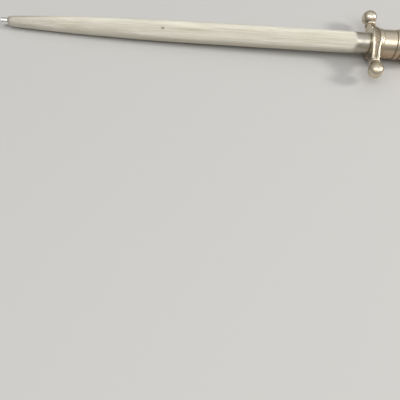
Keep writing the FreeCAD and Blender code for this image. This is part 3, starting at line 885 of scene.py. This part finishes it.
def nickel_silver(name, rough, copper=0.35, scratch=(1.2, 1.2, 1.2), shade_from=4.0):
    """Aged nickel silver: warm tarnish patches, fine scratches, grime and painted shade in the recesses,
    and painted shade, partly tarnish, browning the underside.
    """
    p = Painter(name)
    cloud = p.noise((0.16, 0.16, 0.16), 4.0, 0.6)
    base = p.blend(p.span(cloud, (0.42, 0.75), (copper * 0.35, copper)), SILVER, SILVER_WARM)
    # painted shade, partly tarnish: browner towards the underside
    shaded_underside = p.underside((shade_from, shade_from - UNDERSIDE_SHADE_DROP), copper * 1.3)
    base = p.blend(shaded_underside, base, SILVER_BROWN_SHADE)
    fine = p.noise((1.1, 1.1, 1.1), 3.0, 0.6)
    # grime and painted shade in the recesses, with real dirt specks added
    dirt_and_shade = p.math("MULTIPLY", p.fact("grime_and_shade"), p.span(fine, (0.25, 0.6), (0.6, 1.0)))
    specks = p.span(p.noise((2.6, 2.6, 2.6), 2.0), (0.68, 0.76), (0.0, 0.45))
    dirt_and_shade = p.math("MAXIMUM", dirt_and_shade, specks)
    p.set("Base Color", p.blend(dirt_and_shade, base, GRIME_AND_SHADE))
    p.set("Metallic", p.span(dirt_and_shade, (0.2, 1.0), (1.0, 0.55)))
    p.set("Roughness", p.math("ADD", p.span(cloud, (0.3, 0.7), rough), p.math("MULTIPLY", dirt_and_shade, 0.32)))
    p.bump(p.noise(scratch, 3.0, 0.7), 0.02, 0.22)
    return p.material


IVORY = colour(0.94, 0.69, 0.18)
IVORY_PALE = colour(0.95, 0.77, 0.33)
BARK_LIGHT = colour(0.95, 0.43, 0.065)
BARK = colour(0.78, 0.30, 0.035)
BARK_DEEP = colour(0.40, 0.135, 0.013)
BARK_PALE = colour(0.93, 0.62, 0.23)
FURROW = colour(0.16, 0.052, 0.008)


def bark_colour(p, grain, fibre):
    """Orange-brown clouds with deep grain, pale fibres on the rough crests, and dark dells and furrows."""
    rough = p.fact("rough")
    tone = p.blend(p.span(p.noise((0.04, 0.13, 0.13), 3.0, 0.5), (0.35, 0.65)), BARK, BARK_LIGHT)
    tone = p.blend(p.span(grain, (0.48, 0.72), (0.0, 0.8)), tone, BARK_DEEP)
    fibres = p.span(fibre, (0.5, 0.68), (0.1, 0.95))
    crests = p.math("MULTIPLY", fibres, p.span(rough, (0.1, 0.8), (0.12, 1.0)))
    tone = p.blend(crests, tone, BARK_PALE)
    dells = p.span(p.fact("pearls"), (0.0, -0.5))
    dells = p.math("MULTIPLY", dells, p.span(rough, (0.2, 0.9), (0.0, 0.75)))
    tone = p.blend(dells, tone, BARK_DEEP)
    return p.blend(p.span(p.fact("furrow"), (0.15, 0.95), (0.0, 0.85)), tone, FURROW)


def stag():
    """Stag antler: satin ivory ends that pass raggedly into orange-brown, furrowed bark."""
    p = Painter("stag_antler", Specular_IOR_Level=0.38, Subsurface_Weight=0.1, Subsurface_Scale=1.0 * MM)
    p.set("Subsurface Radius", (1.0, 0.55, 0.25))
    cover = p.fact("bark")
    grain = p.noise((0.1, 1.0, 1.0), 5.0, 0.65, 0.4)
    fibre = p.noise((0.3, 3.4, 3.4), 4.0, 0.7)
    ivory = p.blend(p.span(p.noise((0.05, 0.2, 0.2)), (0.35, 0.7)), IVORY, IVORY_PALE)
    stained = p.blend(p.span(cover, (0.0, 0.35), (0.0, 0.55)), ivory, BARK_LIGHT)
    ragged = p.math("ADD", cover, p.math("MULTIPLY", p.math("SUBTRACT", grain, 0.5), 0.9))
    barked = p.span(ragged, (0.15, 0.85))
    p.set("Base Color", p.blend(barked, stained, bark_colour(p, grain, fibre)))
    p.set("Roughness", p.mix(barked, 0.27, p.span(fibre, (0.3, 0.7), (0.42, 0.62))))
    p.bump(p.math("MULTIPLY", p.noise((0.7, 3.0, 3.0), 5.0, 0.75), barked), 0.3, 0.9)
    return p.material


CEMENT_DARK = colour(0.11, 0.07, 0.045)
CEMENT_LIGHT = colour(0.2, 0.14, 0.09)
ZINC_DARK = colour(0.52, 0.54, 0.55)
ZINC_LIGHT = colour(0.66, 0.67, 0.66)


def cement():
    """Cutler's resin cement: dull, dark, a little grainy."""
    p = Painter("cutlers_cement", on_cad_node=True)
    grains = p.noise((900, 900, 900), 4.0, 0.6)
    p.set("Base Color", p.blend(p.span(grains, (0.35, 0.65)), CEMENT_DARK, CEMENT_LIGHT))
    p.set("Roughness", p.span(grains, (0.3, 0.7), (0.6, 0.85)))
    p.bump(grains, 0.1, 0.5)
    return p.material


def zinc_steel():
    """Plain plated fixings: cool grey with faint cloudy plating."""
    p = Painter("zinc_steel", on_cad_node=True, Metallic=1.0)
    cloud = p.noise((300, 300, 300), 4.0, 0.6)
    p.set("Base Color", p.blend(p.span(cloud, (0.35, 0.65)), ZINC_DARK, ZINC_LIGHT))
    p.set("Roughness", p.span(cloud, (0.3, 0.7), (0.28, 0.42)))
    p.bump(cloud, 0.02, 0.3)
    return p.material


# ---- stage, light and camera, in metres ----
FLOOR_SIZE = 14.0
FLOOR_GREY = colour(0.55, 0.55, 0.545)
CAMERA_AT = Vector((-52.644, -177.176, 180.797)) * MM
CAMERA_PITCH = math.radians(66.291)
CAMERA_HEADING = math.radians(0.048)
CAMERA_ROLL = math.radians(4.636)
CAMERA_LENS = 37.62
CAMERA_CLIP_START = 0.01
KEY_HEIGHT = math.radians(31.0)
KEY_DISTANCE = 2.0
KEY_SIZE = (0.38, 0.38)
KEY_POWER = 22.5
KEY_TINT = (1.0, 0.97, 0.92)
OVERHEAD_AT = (-0.1, -0.36, 0.9)
OVERHEAD_SIZE = (1.6, 0.46)
OVERHEAD_POWER = 4.2
OVERHEAD_TINT = (1.0, 0.985, 0.95)
SKY_STRENGTH = 0.78
SKY_LOW = colour(0.20, 0.195, 0.185)
SKY_HIGH = colour(1.0, 0.995, 0.98)
SKY_BETWEEN = {0.3: colour(0.38, 0.375, 0.36), 0.62: colour(0.66, 0.655, 0.64)}


def floor():
    """A plain pale table top at Z = 0."""
    half = FLOOR_SIZE / 2
    corners = [(-half, -half, 0), (half, -half, 0), (half, half, 0), (-half, half, 0)]
    mesh = bpy.data.meshes.new("floor")
    mesh.from_pydata(corners, [], [(0, 1, 2, 3)])
    p = Painter("pale_floor", Base_Color=FLOOR_GREY, Roughness=0.65, Specular_IOR_Level=0.25)
    mesh.materials.append(p.material)
    ground = bpy.data.objects.new("floor", mesh)
    bpy.context.scene.collection.objects.link(ground)


def world():
    """A pale studio that darkens towards the horizon, so polished metal has something to reflect."""
    studio = bpy.data.worlds.new("studio")
    bpy.context.scene.world = studio
    studio.use_nodes = True
    tree = studio.node_tree
    direction = tree.nodes.new("ShaderNodeTexCoord").outputs["Generated"]
    split = tree.nodes.new("ShaderNodeSeparateXYZ")
    tree.links.new(direction, split.inputs[0])
    ramp = tree.nodes.new("ShaderNodeValToRGB")
    tree.links.new(split.outputs["Z"], ramp.inputs[0])
    stops = ramp.color_ramp.elements
    stops[0].color, stops[1].color = SKY_LOW, SKY_HIGH
    for height, tint in SKY_BETWEEN.items():
        stops.new(height).color = tint
    background = tree.nodes["Background"]
    tree.links.new(ramp.outputs[0], background.inputs["Color"])
    background.inputs["Strength"].default_value = SKY_STRENGTH


def area_light(name, place, size, power, tint):
    """A rectangular lamp aimed at the middle of the steel."""
    data = bpy.data.lights.new(name, "AREA")
    data.shape = "RECTANGLE"
    data.size, data.size_y = size
    data.energy, data.color = power, tint
    lamp = bpy.data.objects.new(name, data)
    bpy.context.scene.collection.objects.link(lamp)
    lamp.location = place
    lamp.rotation_euler = (-Vector(place)).to_track_quat("-Z", "Y").to_euler()


def lights():
    """A key light from beyond the butt, and a long soft light overhead on the camera's side."""
    key_at = (math.cos(KEY_HEIGHT) * KEY_DISTANCE, 0.0, math.sin(KEY_HEIGHT) * KEY_DISTANCE)
    area_light("key", key_at, KEY_SIZE, KEY_POWER, KEY_TINT)
    area_light("overhead", OVERHEAD_AT, OVERHEAD_SIZE, OVERHEAD_POWER, OVERHEAD_TINT)


def camera():
    """The photo's view: looking steeply down at the steel, rolled a little."""
    data = bpy.data.cameras.new("camera")
    data.lens, data.clip_start = CAMERA_LENS, CAMERA_CLIP_START
    eye = bpy.data.objects.new("camera", data)
    bpy.context.scene.collection.objects.link(eye)
    level = math.cos(CAMERA_PITCH)
    sine, cosine = math.sin(CAMERA_HEADING), math.cos(CAMERA_HEADING)
    forward = Vector((-sine * level, cosine * level, -math.sin(CAMERA_PITCH)))
    aside = Vector((cosine, sine, 0))
    over = aside.cross(forward)
    right = aside * math.cos(CAMERA_ROLL) + over * math.sin(CAMERA_ROLL)
    up = over * math.cos(CAMERA_ROLL) - aside * math.sin(CAMERA_ROLL)
    eye.matrix_world = Matrix.Translation(CAMERA_AT) @ Matrix((right, up, -forward)).transposed().to_4x4()
    bpy.context.scene.camera = eye


def outer_pieces():
    """The five pieces that stand for CAD nodes, each with its material."""
    guard_metal = nickel_silver("guard_nickel_silver", (0.22, 0.36))
    ferrule_metal = nickel_silver("ferrule_nickel_silver", (0.23, 0.35), 0.65, TURNING_MARKS, 6.5)
    cap_metal = nickel_silver("cap_nickel_silver", (0.24, 0.36), 0.3)
    ribbed_rod().data.materials.append(ribbed_steel())
    fluted_crossguard().data.materials.append(guard_metal)
    ringed_ferrule().data.materials.append(ferrule_metal)
    stag_handle().data.materials.append(stag())
    butt_cap_shell().data.materials.append(cap_metal)


def inner_nodes():
    """Materials for the CAD shapes inside the handle."""
    inside = {
        "tang_cement": cement(),
        "cap_cement": cement(),
        "tang_washer": zinc_steel(),
        "tang_nut": zinc_steel(),
    }
    for name, material in inside.items():
        for slot in frame["nodes"][name].material_slots:
            slot.material = material


def main():
    """The whole scene, at rest."""
    outer_pieces()
    inner_nodes()
    floor()
    world()
    lights()
    camera()
    bpy.context.scene.view_settings.view_transform = "Standard"


main()
